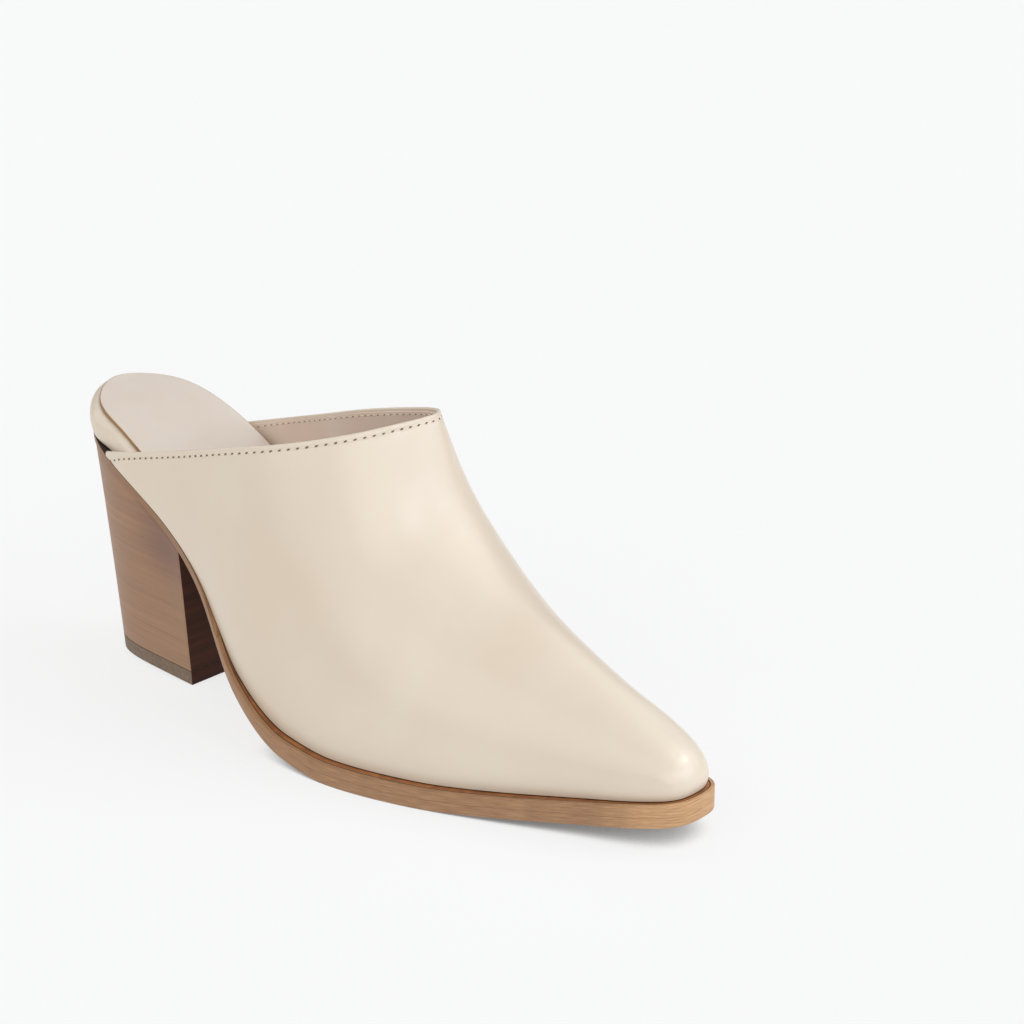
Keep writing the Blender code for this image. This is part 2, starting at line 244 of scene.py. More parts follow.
def underside(x):
    share = x / last["length"]
    spring = np.clip((share - last["treadFront"]) / (1 - last["treadFront"]), 0, None)
    return archCurve(share) * last["heelRise"] + last["toeSpring"] * spring ** last["springPower"]


def outsoleTop(x):
    thicker = sole["frontThickness"] - sole["seatThickness"]
    return underside(x) + sole["seatThickness"] + thicker * ramp(x, 0.05, 0.42)


def midThickness(x):
    full = sole["midFront"] + (sole["midToe"] - sole["midFront"]) * ramp(x, 0.80, 1.0)
    return sole["midSkive"] + (full - sole["midSkive"]) * ramp(x, sole["midRear"], 0.58)


def seatHeight(x):
    shown = ramp(x, sole["midRear"] - 0.03, sole["midRear"])
    return outsoleTop(x) + shown * (sole["gap"] + midThickness(x)) + sole["gap"]


def soleEdge(x):
    full = sole["ledge"] * ramp(x, 0.22, 0.50) - sole["toeTuck"] * ramp(x, 0.80, 0.98)
    return full - sole["seatRecess"] * (1 - ramp(x, 0.04, 0.20))


def footbedEdge(x, start=0.070, end=0.108):
    return -(footbed["wall"] + 2 * sole["gap"]) * ramp(x, start, end)


def footbedEdgeInside(x):
    # the inner side draws in more slowly, because the upper starts further forward there
    return footbedEdge(x, 0.030, 0.128)


def footbedThickness(x):
    back = (footbed["rim"] - footbed["back"]) * (1 - ramp(x, 0.0, 0.14))
    return footbed["rim"] - back + (footbed["front"] - footbed["rim"]) * ramp(x, 0.22, 0.52)


def sockEdge(x):
    narrowing = footbed["sockWaist"] * ramp(x, 0.03, 0.13)
    return footbed["sockSpread"] * ramp(x, 0.13, 0.30) - narrowing - footbed["sockInset"]


# Where the solids' frame has the last's own zero point; the ways crowd at both ends
evenWays = (1 - np.cos(np.linspace(0, math.pi, sole["stations"]))) / 2
shift = Vector((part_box("insole")[0].x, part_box("outsole")[0].y - outline(-evenWays, soleEdge)[:, 1].min(), 0))
print("last's zero point at", [round(v * 1000, 2) for v in shift], "mm")


def linearColor(code):
    # sRGB hex to the linear colour that Blender's sockets take
    parts = [int(code[i:i + 2], 16) / 255 for i in (1, 3, 5)]
    return [c / 12.92 if c <= 0.04045 else ((c + 0.055) / 1.055) ** 2.4 for c in parts] + [1.0]


def addNode(tree, kind, inputs=None, **settings):
    # one node with its settings; an input is a value, or the socket it is linked to
    node = tree.nodes.new(kind)
    for name, value in settings.items():
        setattr(node, name, value)
    for name, value in (inputs or {}).items():
        if isinstance(value, bpy.types.NodeSocket):
            tree.links.new(value, node.inputs[name])
        else:
            node.inputs[name].default_value = value
    return node


def colorRamp(tree, factor, stops):
    node = addNode(tree, "ShaderNodeValToRGB", {"Fac": factor})
    elements = node.color_ramp.elements
    while len(elements) < len(stops):
        elements.new(0.5)
    for element, (place, code) in zip(elements, stops):
        element.position = place
        element.color = linearColor(code)
    return node.outputs["Color"]


def objectPlace(tree):
    return addNode(tree, "ShaderNodeTexCoord").outputs["Object"]


def noise(tree, place, size, detail, roughness=0.5):
    # noise whose spots are about as large as size, in metres
    inputs = {"Vector": place, "Scale": 1 / size, "Detail": detail, "Roughness": roughness}
    return addNode(tree, "ShaderNodeTexNoise", inputs).outputs["Fac"]


def stretched(tree, place, sizes):
    # place counted in units of a size for each axis, so that noise of size 1 on it has streaks that long
    units = tuple(1 / size for size in sizes)
    return addNode(tree, "ShaderNodeVectorMath", {0: place, 1: units}, operation="MULTIPLY").outputs[0]


def valueRange(tree, value, start, end, low=0.0, high=1.0, shape="SMOOTHSTEP"):
    inputs = {"Value": value, "From Min": start, "From Max": end, "To Min": low, "To Max": high}
    return addNode(tree, "ShaderNodeMapRange", inputs, interpolation_type=shape).outputs["Result"]


def mixColors(tree, factor, first, second):
    # the mix node takes colours at its inputs 6 and 7 and gives one at its output 2
    node = addNode(tree, "ShaderNodeMix", {"Factor": factor, 6: first, 7: second}, data_type="RGBA")
    return node.outputs[2]


def addBump(tree, surface, height, strength, distance):
    # relief on the surface, on top of any relief that it has already
    bump = addNode(tree, "ShaderNodeBump", {"Height": height, "Strength": strength, "Distance": distance})
    normal = surface.inputs["Normal"]
    if normal.is_linked:
        tree.links.new(normal.links[0].from_socket, bump.inputs["Normal"])
    tree.links.new(bump.outputs["Normal"], normal)


def paint(tree, surface, factor, stops):
    tree.links.new(colorRamp(tree, factor, stops), surface.inputs["Base Color"])


def newMaterial(name, **surfaceInputs):
    material = bpy.data.materials.new(name)
    material.use_nodes = True
    tree = material.node_tree
    surface = tree.nodes["Principled BSDF"]
    for socket, value in surfaceInputs.items():
        surface.inputs[socket.replace("_", " ")].default_value = value
    return material, tree, surface


def plainMaterial(name, code, roughness, refraction):
    return newMaterial(name, Base_Color=linearColor(code), Roughness=roughness, IOR=refraction)[0]


# Box-calf leather, pigment finished and plated: pale cream, an even satin gloss and hardly any pores
def creamLeather():
    look = {
        "tones": ((0.32, "#D4C3AF"), (0.55, "#D5C7B4"), (0.75, "#D7CBB9")),
        "mottleSize": 0.045,
        "poreSize": 0.0007,     # real pores are 0.2 mm and would not show
        "wrinkleSize": 0.006,
        "roughness": (0.34, 0.44),
    }
    material, tree, surface = newMaterial("calf leather, cream, plated finish", IOR=1.48, Coat_Weight=0.28,
                                          Coat_Roughness=0.22)
    place = objectPlace(tree)
    mottle = noise(tree, place, look["mottleSize"], 4.0, 0.55)
    paint(tree, surface, mottle, look["tones"])
    gloss = valueRange(tree, mottle, 0.3, 0.7, *look["roughness"], shape="LINEAR")
    tree.links.new(gloss, surface.inputs["Roughness"])
    pores = addNode(tree, "ShaderNodeTexVoronoi", {"Vector": place, "Scale": 1 / look["poreSize"]})
    addBump(tree, surface, noise(tree, place, look["wrinkleSize"], 3.0), 0.10, 0.0004)
    addBump(tree, surface, pores.outputs["Distance"], 0.10, 0.00012)
    return material


# Pigskin, drum dyed and unfinished: beige and matt, with fine hair pores; the lining is pinker than the sock
def linerLeather(name, *tones):
    look = {"stops": (0.32, 0.55, 0.75), "mottleSize": 0.020, "poreSize": 0.0011}
    material, tree, surface = newMaterial(name, Roughness=0.66, IOR=1.45)
    place = objectPlace(tree)
    mottle = noise(tree, place, look["mottleSize"], 5.0)
    pores = addNode(tree, "ShaderNodeTexVoronoi", {"Vector": place, "Scale": 1 / look["poreSize"]})
    paint(tree, surface, mottle, list(zip(look["stops"], tones)))
    addBump(tree, surface, pores.outputs["Distance"], 0.12, 0.00015)
    return material


# Vegetable-tanned sole leather, cut, sanded and waxed: tan with fine fibre streaks that run along the edge
def soleEdgeLeather():
    look = {
        "tones": ((0.25, "#7A5639"), (0.45, "#936D4D"), (0.62, "#A27B56"), (0.80, "#B68F66")),
        "seatTones": ((0.25, "#76543B"), (0.50, "#896446"), (0.80, "#997251")),
        "seatEnd": (-0.068, -0.030),    # where the heel's brown gives way to tan
        "toeTones": ((0.25, "#946C4A"), (0.50, "#B98F64"), (0.80, "#D9B283")),
        "toeStart": (0.100, 0.120),     # and where the end of the toe is paler
        "fibre": (0.0070, 0.0004, 1.0),     # length along the edge and height of a streak
    }
    material, tree, surface = newMaterial("sole leather, tan, waxed edge", Roughness=0.46, IOR=1.5)
    run = addNode(tree, "ShaderNodeAttribute", attribute_name="soleRun").outputs["Vector"]
    streaks = noise(tree, stretched(tree, run, look["fibre"]), 1.0, 5.0, 0.62)
    forward = addNode(tree, "ShaderNodeSeparateXYZ", {"Vector": objectPlace(tree)}).outputs["X"]
    seat, middle, toe = [colorRamp(tree, streaks, look[name]) for name in ("seatTones", "tones", "toeTones")]
    behind = mixColors(tree, valueRange(tree, forward, *look["seatEnd"]), seat, middle)
    whole = mixColors(tree, valueRange(tree, forward, *look["toeStart"]), behind, toe)
    tree.links.new(whole, surface.inputs["Base Color"])
    addBump(tree, surface, streaks, 0.25, 0.0001)
    return material


# The same sole leather on its grain side, stained and burnished: darker orange brown with a low gloss
def stainedLeather():
    look = {"tones": ((0.30, "#7E4A22"), (0.55, "#9A5F31"), (0.75, "#A86C3B")), "mottleSize": 0.004}
    material, tree, surface = newMaterial("sole leather, stained and burnished", Roughness=0.42, IOR=1.5)
    mottle = noise(tree, objectPlace(tree), look["mottleSize"], 4.0)
    paint(tree, surface, mottle, look["tones"])
    return material


# Stacked leather heel, built of thin layers, sanded and waxed: brown, each layer a little lighter or darker
def stackedLeather():
    look = {
        "tones": ((0.25, "#7B5A3F"), (0.45, "#8C6749"), (0.60, "#956E4D"), (0.80, "#A47A57")),
        "layer": (1 / 6, 1 / 6, 0.0024),    # how far a layer keeps its tone, and its height
        "fibre": (0.030, 0.030, 0.0005),    # length and height of a streak in a layer
        "layerShare": 0.45,
    }
    # a darker patch below the front of the seat
    darkPatch = {
        "tone": "#6C4A3E",
        "centre": (-0.070, -0.021, 0.053),
        "radius": (0.002, 0.024),           # full up to the first, gone at the second
        "depth": 0.75,
    }
    material, tree, surface = newMaterial("stacked leather, brown, waxed", Roughness=0.45, IOR=1.5)
    place = objectPlace(tree)
    streaks = noise(tree, stretched(tree, place, look["fibre"]), 1.0, 4.0, 0.6)
    layers = noise(tree, stretched(tree, place, look["layer"]), 1.0, 1.0)
    both = addNode(tree, "ShaderNodeMix", {"Factor": look["layerShare"], "A": streaks, "B": layers},
                   data_type="FLOAT")
    away = addNode(tree, "ShaderNodeVectorMath", {0: place, 1: darkPatch["centre"]}, operation="DISTANCE")
    patch = valueRange(tree, away.outputs["Value"], *darkPatch["radius"], darkPatch["depth"], 0.0)
    stack = colorRamp(tree, both.outputs["Result"], look["tones"])
    whole = mixColors(tree, patch, stack, linearColor(darkPatch["tone"]))
    tree.links.new(whole, surface.inputs["Base Color"])
    addBump(tree, surface, streaks, 0.2, 0.0001)
    return material


# The same stack on the breast, near black brown as painted shade: it stands for the deep shade under the arch,
# and the layers hardly show through
def breastPaintedShade():
    look = {"tones": ((0.30, "#2C1106"), (0.70, "#43200D")), "layer": (0.05, 0.05, 0.0024)}
    material, tree, surface = newMaterial("stacked leather, near black brown, painted shade", Roughness=0.75, IOR=1.35)
    layers = noise(tree, stretched(tree, objectPlace(tree), look["layer"]), 1.0, 3.0)
    paint(tree, surface, layers, look["tones"])
    return material


# Nitrile rubber top piece, moulded and scoured: grey brown and matt
def liftRubber():
    look = {"tones": ((0.35, "#64523F"), (0.65, "#77634E")), "speckSize": 0.0012}
    material, tree, surface = newMaterial("nitrile rubber, grey brown, scoured", Roughness=0.62, IOR=1.52)
    speck = noise(tree, objectPlace(tree), look["speckSize"], 3.0)
    paint(tree, surface, speck, look["tones"])
    addBump(tree, surface, speck, 0.15, 0.0001)
    return material


# Bonded polyester thread: pale and slightly shiny
def sewingThread():
    return newMaterial("bonded polyester thread, ecru", Base_Color=linearColor("#E2D6C2"), Roughness=0.5,
                       IOR=1.55, Sheen_Weight=0.2)[0]


materials = {
    "cream": creamLeather(),
    "sock": linerLeather("pigskin sock, beige, unfinished", "#CBBDB0", "#CDC0B3", "#D0C4B7"),
    "liner": linerLeather("pigskin lining, pinkish beige, unfinished", "#D8C3B2", "#DCC8B8", "#E0CEBF"),
    "soleEdge": soleEdgeLeather(),
    "ledge": stainedLeather(),
    "heel": stackedLeather(),
    # painted shade on the breast of the heel and of the lift
    "breast": breastPaintedShade(),
    "rubber": liftRubber(),
    "thread": sewingThread(),
    # fills the groove and the thin seams of the sole, and is painted shade along the upper's foot where it meets
    # the ledge
    "dressingAndShade": plainMaterial("edge dressing, dark brown", "#5A3418", 0.5, 1.5),
    # painted shade: makes the seat's upper edge under the rim nearly black, as the shade in the gap there
    "seatShade": plainMaterial("sole leather, near black, painted shade", "#2A170C", 0.6, 1.5),
    # painted shade of a needle hole: a dark patch laid on the surface that stands for the shade inside it
    "hole": plainMaterial("needle hole, painted shade", "#6B5944", 0.8, 1.45),
    # a thin leather-brown line round the sock: its brown cut edge, darkened as well as painted shade under the
    # sock's edge
    "cutEdgeAndShade": plainMaterial("cut edge, brown and painted shade", "#93704A", 0.55, 1.48),
}
print("materials made:", len(materials))


def addObject(name, data):
    made = bpy.data.objects.new(name, data)
    bpy.context.scene.collection.objects.link(made)
    return made


def addPiece(name, mesh, slot, *replaced):
    piece = addObject(name, mesh)
    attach(piece, "root")
    if replaced:
        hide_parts(*replaced)


def finishMesh(work, name, materialNames, sharpAngle=38):
    bmesh.ops.recalc_face_normals(work, faces=work.faces)
    mesh = bpy.data.meshes.new(name)
    work.to_mesh(mesh)
    work.free()
    mesh.transform(Matrix.Translation(shift))
    for key in materialNames:
        mesh.materials.append(materials[key])
    mesh.shade_smooth()
    mesh.set_sharp_from_angle(angle=math.radians(sharpAngle))
    return mesh


def runsAt(ways, offset, height):
    # outer and inner run of points along the last at one level; offset is one function, or one for each side
    runs = []
    offsets = offset if isinstance(offset, tuple) else (offset, offset)
    for side, sideWays, sideOffset in zip((-1, 1), ways, offsets):
        plan = outline(side * sideWays, sideOffset)
        runs.append(np.column_stack([plan, height(plan[:, 0])]))
    return runs


def joinRings(work, rings):
    # faces between closed rings of vertices
    count = len(rings[0])
    for near, far in zip(rings, rings[1:]):
        for k in range(count):
            work.faces.new((near[k], near[(k + 1) % count], far[(k + 1) % count], far[k]))


def layeredMesh(name, levels, bandMaterials, materialNames, sharpAngle=38):
    # closed solid of levels, bottom to top; each level has an outer and an inner run of points
    work = bmesh.new()
    run = work.verts.layers.float_vector.new("soleRun")
    lengths = (-lineLengths(levels[0][0]), lineLengths(levels[0][1]))
    grid = []
    rise = 0.0
    for n, level in enumerate(levels):
        if n:
            rise += float(np.linalg.norm(level[0] - levels[n - 1][0], axis=1).max())
        rows = []
        for points, along in zip(level, lengths):
            row = [work.verts.new(point) for point in points]
            for vert, length in zip(row, along):
                vert[run] = (length, rise, 0.0)
            rows.append(row)
        grid.append(rows)

    def addFace(corners, index):
        work.faces.new(corners).material_index = index

    lastPlace = len(levels[0][0]) - 1
    for low, high, index in zip(grid, grid[1:], bandMaterials[1:]):
        for bottom, top in zip(low, high):
            for i in range(lastPlace):
                addFace((bottom[i], bottom[i + 1], top[i + 1], top[i]), index)
        for i in (0, lastPlace):
            addFace((low[0][i], low[1][i], high[1][i], high[0][i]), index)
    for (outer, inner), index in ((grid[0], bandMaterials[0]), (grid[-1], bandMaterials[-1])):
        for i in range(lastPlace):
            addFace((outer[i], outer[i + 1], inner[i + 1], inner[i]), index)
    bmesh.ops.remove_doubles(work, verts=work.verts, dist=1e-6)
    return finishMesh(work, name, materialNames, sharpAngle)


def profileLevels(ways, edge, low, high, profile):
    # each row: inset from the edge, as a size or function of x, then low (0) or high (1) and a step in height
    levels = []
    for inset, base, step in profile:
        def offset(x, inset=inset):
            return edge(x) - (inset(x) if callable(inset) else inset)

        def height(x, base=base, step=step):
            return low(x) * (1 - base) + high(x) * base + step

        levels.append(runsAt(ways, offset, height))
    return levels


def buildSole():
    ways = [evenWays, evenWays]
    r = sole["rounding"]
    joint = sole["jointRounding"]
    profile = ((r, 0, 0.0), (r * 0.3, 0, r * 0.3), (0, 0, r), (0, 1, -joint), (joint, 1, 0.0))
    levels = profileLevels(ways, soleEdge, underside, outsoleTop, profile)
    mesh = layeredMesh("outsole", levels, (0, 0, 0, 0, 0, 1), ("soleEdge", "ledge", "seatShade"))
    # the seat's top edge under the rim gets the painted shade; further forward it is plain edge
    shadeEnd = shift.x + sole["shadedSeat"] * last["length"]
    for face in mesh.polygons:
        if face.material_index == 1:
            face.material_index = 2 if face.center.x < shadeEnd else 0
    addPiece("outsoleLeather", mesh, "sole_leather_lower", "outsole")
    # the upper layer ends at the waist, skived thin
    turn = np.linspace(0, math.pi / 2, sole["stations"])
    ways = [wayAt(sole["midRear"] * last["length"], side) * (1 - np.cos(turn)) for side in (-1, 1)]

    def low(x):
        return outsoleTop(x) + sole["jointGap"]

    def high(x):
        return outsoleTop(x) + sole["gap"] + midThickness(x)

    r = sole["rimRounding"]
    width = sole["grooveWidth"]
    deep = sole["grooveDepth"]

    def groove(share):
        # in the waist the groove runs further in, and the rim in front of it has the edge's finish
        def inset(x):
            front = ramp(x, 0.38, 0.62)
            return sole["grooveAtWaist"] * (1 - front) + sole["grooveFromRim"] * front + width * share

        return inset

    # a band of painted shade along the upper's foot, in the dark brown
    def contact(x):
        shade = sole["contactShade"] * (1 - ramp(x, 0.42, 0.62))
        return np.maximum(soleEdge(x) - shade, groove(1.5)(x))

    profile = ((joint, 0, 0.0), (0, 0, joint), (0, 1, -r), (r * 0.3, 1, -r * 0.3), (r, 1, 0.0),
               (groove(0), 1, 0.0), (groove(0.3), 1, -deep), (groove(0.7), 1, -deep), (groove(1), 1, 0.0),
               (contact, 1, 0.0))
    levels = profileLevels(ways, soleEdge, low, high, profile)
    bands = (0, 0, 0, 0, 0, 0, 2, 2, 2, 1, 2)
    mesh = layeredMesh("midsole", levels, bands, ("soleEdge", "ledge", "dressingAndShade"))
    addPiece("midsoleLeather", mesh, "sole_leather_upper", "midsole")


def buildFootbed():
    ways = [evenWays, evenWays]
    levels = []
    for turn in np.linspace(-math.pi / 2, math.pi / 2, footbed["levels"]):
        def edgeOut(x, turn=turn):
            radius = footbed["rimRound" if turn > 0 else "rimTuck"] * footbedThickness(x) / footbed["rim"]
            bulge = footbed["rimBulge"] * (1 - ramp(x, *footbed["bulgeEnd"]))
            return footbedEdge(x) - radius * (1 - math.cos(turn)) + bulge * math.cos(turn)

        def edgeIn(x, turn=turn):
            return edgeOut(x, turn) - footbedEdge(x) + footbedEdgeInside(x)

        def height(x, turn=turn):
            return seatHeight(x) + footbedThickness(x) * (1 + math.sin(turn)) / 2

        levels.append(runsAt(ways, (edgeOut, edgeIn), height))
    mesh = layeredMesh("footbed", levels, [0] * (len(levels) + 1), ("cream",), 60)
    addPiece("footbedCover", mesh, "rim_leather", "insole")

    def low(x):
        return seatHeight(x) + footbedThickness(x) + sole["gap"] * 0.3

    def high(x):
        return seatHeight(x) + footbedThickness(x) + sole["gap"] + footbed["sockThickness"]

    r = footbed["sockRound"]
    profile = ((r * 0.5, 0, 0.0), (0, 0, r * 0.5), (0, 1, -r), (r * 0.3, 1, -r * 0.3), (r, 1, 0.0),
               (r * 4, 1, footbed["sockCrown"]))
    levels = profileLevels(ways, sockEdge, low, high, profile)
    mesh = layeredMesh("sock", levels, (0, 1, 1, 1, 1, 0, 0), ("sock", "cutEdgeAndShade"))
    addPiece("sockLiner", mesh, "liner_leather", "sock")


buildSole()
buildFootbed()
print("soles and footbed made")

# Heel block and lift, in metres
heel = {
    "liftThickness": 0.0050,
    "topInset": 0.0004,
    "breastTop": 0.0630,
    "breastFoot": 0.0576,
    "backFoot": 0.0098,
    "footWidth": 0.0372,
    "footShift": -0.0019,
    "roundPower": 7.0,          # how square the foot's back corners are
    "taper": 0.22,              # how much narrower the foot is at the back
    "stations": 64,
    "levels": 24,
    "cornerBevel": 0.0005,
    "cornerAngle": 50,
    "smoothAngle": 40,
    "breastFacing": 0.75,       # a face whose normal points forward by more than this lies on the breast
}


def heelLevel(ways, share, height):
    # plan of the heel at a share of its height: 0 on the floor, 1 under the sole
    runs = []
    for side, sideWays in zip((-1, 1), ways):
        top = outline(side * sideWays, lambda x: soleEdge(x) - heel["topInset"])
        backX = top[-1, 0]
        along = (top[:, 0] - backX) / (top[0, 0] - backX)
        footX = heel["backFoot"] + along * (heel["breastFoot"] - heel["backFoot"])
        roundOff = np.sqrt(np.clip(1 - (1 - along) ** heel["roundPower"], 0, 1))
        narrowing = 1 - heel["taper"] * (1 - along)
        footY = heel["footShift"] + side * heel["footWidth"] / 2 * roundOff * narrowing
        plan = np.stack([footX, footY], 1) * (1 - share) + top * share
        runs.append(np.column_stack([plan, height(plan[:, 0])]))
    return runs


def finishHeel(mesh):
    # corners bevelled, and the flat front face dark with painted shade
    work = bmesh.new()
    work.from_mesh(mesh)
    sharp = math.radians(heel["cornerAngle"])
    edges = [e for e in work.edges if len(e.link_faces) == 2 and e.calc_face_angle() > sharp]
    bmesh.ops.bevel(work, geom=edges, offset=heel["cornerBevel"], segments=2, profile=0.5, affect="EDGES",
                    clamp_overlap=True)
    work.to_mesh(mesh)
    work.free()
    mesh.shade_smooth()
    mesh.set_sharp_from_angle(angle=math.radians(heel["smoothAngle"]))
    # the breast's faces take the near black brown material, painted shade from the arch above
    for face in mesh.polygons:
        if face.normal.x > heel["breastFacing"]:
            face.material_index = 1
    return mesh


def buildHeel():
    turn = np.linspace(0, math.pi / 2, heel["stations"])
    ways = []
    for side in (-1, 1):
        breast = wayAt(heel["breastTop"], side)
        ways.append(breast + (1 - breast) * np.sin(turn))
    floor = heel["liftThickness"] + sole["gap"]
    lowShare = floor / last["heelRise"]
    top = heelLevel(ways, 1.0, lambda x: underside(x) - sole["gap"])
    levels = []
    for share in np.linspace(lowShare, 1, heel["levels"]):
        rise = (share - lowShare) / (1 - lowShare)
        level = heelLevel(ways, share, lambda x: np.full(len(x), floor))
        for run, roof in zip(level, top):
            run[:, 2] += rise * (roof[:, 2] - floor)
        levels.append(level)
    mesh = layeredMesh("heel", levels, [0] * (len(levels) + 1), ("heel", "breast"))
    addPiece("heelStack", finishHeel(mesh), "stacked_leather", "heel_block")
    levels = [heelLevel(ways, z / last["heelRise"], lambda x, z=z: np.full(len(x), z))
              for z in (0.0, heel["liftThickness"])]
    # the lift's breast takes the same painted shade
    mesh = layeredMesh("lift", levels, (0, 0, 0), ("rubber", "breast"))
    addPiece("heelLift", finishHeel(mesh), "lift_rubber", "top_lift")


buildHeel()
print("heel made")

# The upper: a leather shell folded over at the topline and a lining inside it, in metres
vamp = {
    "leather": 0.00120,
    "lining": 0.00055,
    "liningGap": 0.00004,
    "foldRise": 0.5,            # how far the folded edge stands up, as a share of its half thickness
    "leatherDrop": 0.0003,
    "liningDrop": 0.0010,
    "bandWidth": 0.0017,        # topline to stitch line
    "liningBand": 0.0009,       # the lining's edge to the same stitches
    "rearWidening": 1.7,        # how much wider the band is at its rear ends
    "wideningLength": 0.008,
    "bandPuff": 0.00014,
    "grooveDepth": 0.00020,
    "grooveWidth": 0.0009,
    "frontColumns": 64,
    "rearColumns": 84,
    "fineRows": 20,
    "fineStep": 0.00022,
    "fineLimit": 0.6,           # share of a short column that the fine rows may take
    "coarseRows": 44,
    "dense": 500,               # points on a column before it is cut and spaced
    "evenShare": 0.4,           # how evenly the rear columns stand; the rest crowd at the throat
    "roundSteps": (30, 60, 90, 120, 150),   # degrees round an edge
    "lineSpan": 9,              # points averaged along a stitch line
}


def sectionPoints(way, shares):
    # points of the outer surface over one feather point, at shares of the way up to the ridge
    foot = np.append(outline([way])[0], 0)
    foot[2] = seatHeight(foot[0])
    x, y, z, lean = ridgeCurve([abs(way)])[0]
    top = np.array([x, y, z])
    back = ridgeCurve([abs(way) + 0.01])[0]
    slope = (back[2] - z) / (back[0] - x)
    out = foot[:2] - top[:2]
    reach = np.linalg.norm(out)
    out = out / reach
    across = unit(np.array([out[0] * (1 - np.clip(abs(way) / last["toeTurn"], 0, 1)) ** 2, out[1]]))
    rise = top[2] - foot[2]
    innerShare = 0.5 + 0.5 * np.clip(way * last["crownBlend"], -1, 1)
    crown = last["crownOut"] + (last["crownIn"] - last["crownOut"]) * innerShare
    lift = rise * last["wallHandle"]
    wall = foot + np.array([out[0] * math.sin(lean), out[1] * math.sin(lean), math.cos(lean)]) * lift
    roof = top + np.array([across[0], across[1], slope * across[0]]) * reach * crown
    s = np.asarray(shares, float)[:, None]
    return (1 - s) ** 3 * foot + 3 * (1 - s) ** 2 * s * wall + 3 * (1 - s) * s ** 2 * roof + s ** 3 * top


def rearPlace(side):
    return (last["rearOut"] if side < 0 else last["rearIn"]) * last["length"]


def cutColumn(way, side, throatX, throatZ):
    # a dense column of points from the feather line up to the topline
    dense = sectionPoints(side * way, np.linspace(0, 1, vamp["dense"]))
    if throatX is None:
        return dense
    rearX = rearPlace(side)
    rearZ = float(seatHeight(rearX)) + last["rearEdge"] - (last["throatHeight"] - throatZ)
    along = np.clip((dense[:, 0] - rearX) / (throatX - rearX), 0, 1)
    over = dense[:, 2] - (rearZ + (throatZ - rearZ) * toplineCurve(along))
    above = np.nonzero(over > 0)[0]
    if len(above) == 0 or above[0] == 0:
        return dense
    i = above[0]
    t = over[i - 1] / (over[i - 1] - over[i])
    return np.vstack([dense[:i], dense[i - 1] + (dense[i] - dense[i - 1]) * t])


def spaceColumn(dense):
    # rows close together under the top edge and even below it
    lengths = lineLengths(dense)
    fine = min(vamp["fineRows"] * vamp["fineStep"], lengths[-1] * vamp["fineLimit"])
    low = np.linspace(0, lengths[-1] - fine, vamp["coarseRows"] + 1)
    high = np.linspace(lengths[-1] - fine, lengths[-1], vamp["fineRows"] + 1)[1:]
    return pointsAt(np.concatenate([low, high]), lengths, dense)


def vampSurface(drop):
    # one sheet from the feather line to the topline; its columns meet on the ridge in front of the throat.
    # It gives points, quads, the loop round it, how many feather points lead that loop, and the topline
    zDrop = last["throatHeight"] - drop
    # the ridge rises steadily near the throat's section, so its height gives the throat's place
    tries = np.linspace(sectionWays[last["throatRow"]] - 0.08, sectionWays[last["throatRow"]] + 0.01, 300)
    throatWay = float(np.interp(zDrop, ridgeCurve(tries)[:, 2], tries))
    throatX = float(ridgeCurve([throatWay])[0, 0])
    front = throatWay * (1 - np.cos(np.linspace(0, math.pi, vamp["frontColumns"]))) / 2
    points = []
    columns = {}
    ridge = {}
    for side in (-1, 1):
        rear = wayAt(rearPlace(side), side)
        t = np.linspace(0, 1, vamp["rearColumns"] + 1)[1:]
        crowded = 1 - np.cos(t * math.pi / 2)
        spaced = vamp["evenShare"] * t + (1 - vamp["evenShare"]) * crowded
        behind = throatWay + (rear - throatWay) * spaced
        made = []
        for i, way in enumerate(np.concatenate([front, behind])):
            joined = i < len(front)
            if side == 1 and i == 0:
                made.append(columns[-1][0])
                continue
            rows = spaceColumn(cutColumn(way, side, None if joined else throatX, zDrop))
            shared = joined and i in ridge
            place = list(range(len(points), len(points) + len(rows) - shared))
            points.extend(rows[:len(place)])
            if shared:
                place.append(ridge[i])
            elif joined:
                ridge[i] = place[-1]
            made.append(place)
        columns[side] = made
    quads = []
    for side, made in columns.items():
        for near, far in zip(made, made[1:]):
            for j in range(len(near) - 1):
                quad = (near[j], near[j + 1], far[j + 1], far[j])
                quads.append(quad[::-1] if side == 1 else quad)
    outer, inner = columns[-1], columns[1]
    count = len(front)
    feather = [c[0] for c in outer[::-1] + inner[1:]]
    topline = [c[-1] for c in inner[:count - 1:-1] + outer[count - 1:]]
    ring = feather + inner[-1][1:-1] + topline + outer[-1][-2:0:-1]
    return np.array(points), np.array(quads), ring, len(feather), topline


def surfaceNormals(points, quads):
    diagonal = np.cross(points[quads[:, 2]] - points[quads[:, 0]], points[quads[:, 3]] - points[quads[:, 1]])
    normals = np.zeros_like(points)
    for k in range(4):
        np.add.at(normals, quads[:, k], diagonal)
    return unit(normals)


def toLine(points, line):
    # distance from each point to a polyline, and how far along the line the nearest place is
    best = np.full(len(points), 1e9)
    along = np.zeros(len(points))
    start = 0.0
    for a, b in zip(line, line[1:]):
        edge = b - a
        size = np.linalg.norm(edge)
        t = np.clip((points - a) @ edge / size ** 2, 0, 1)
        gap = np.linalg.norm(points - a - t[:, None] * edge, axis=1)
        closer = gap < best
        best[closer] = gap[closer]
        along[closer] = start + t[closer] * size
        start += size
    return best, along


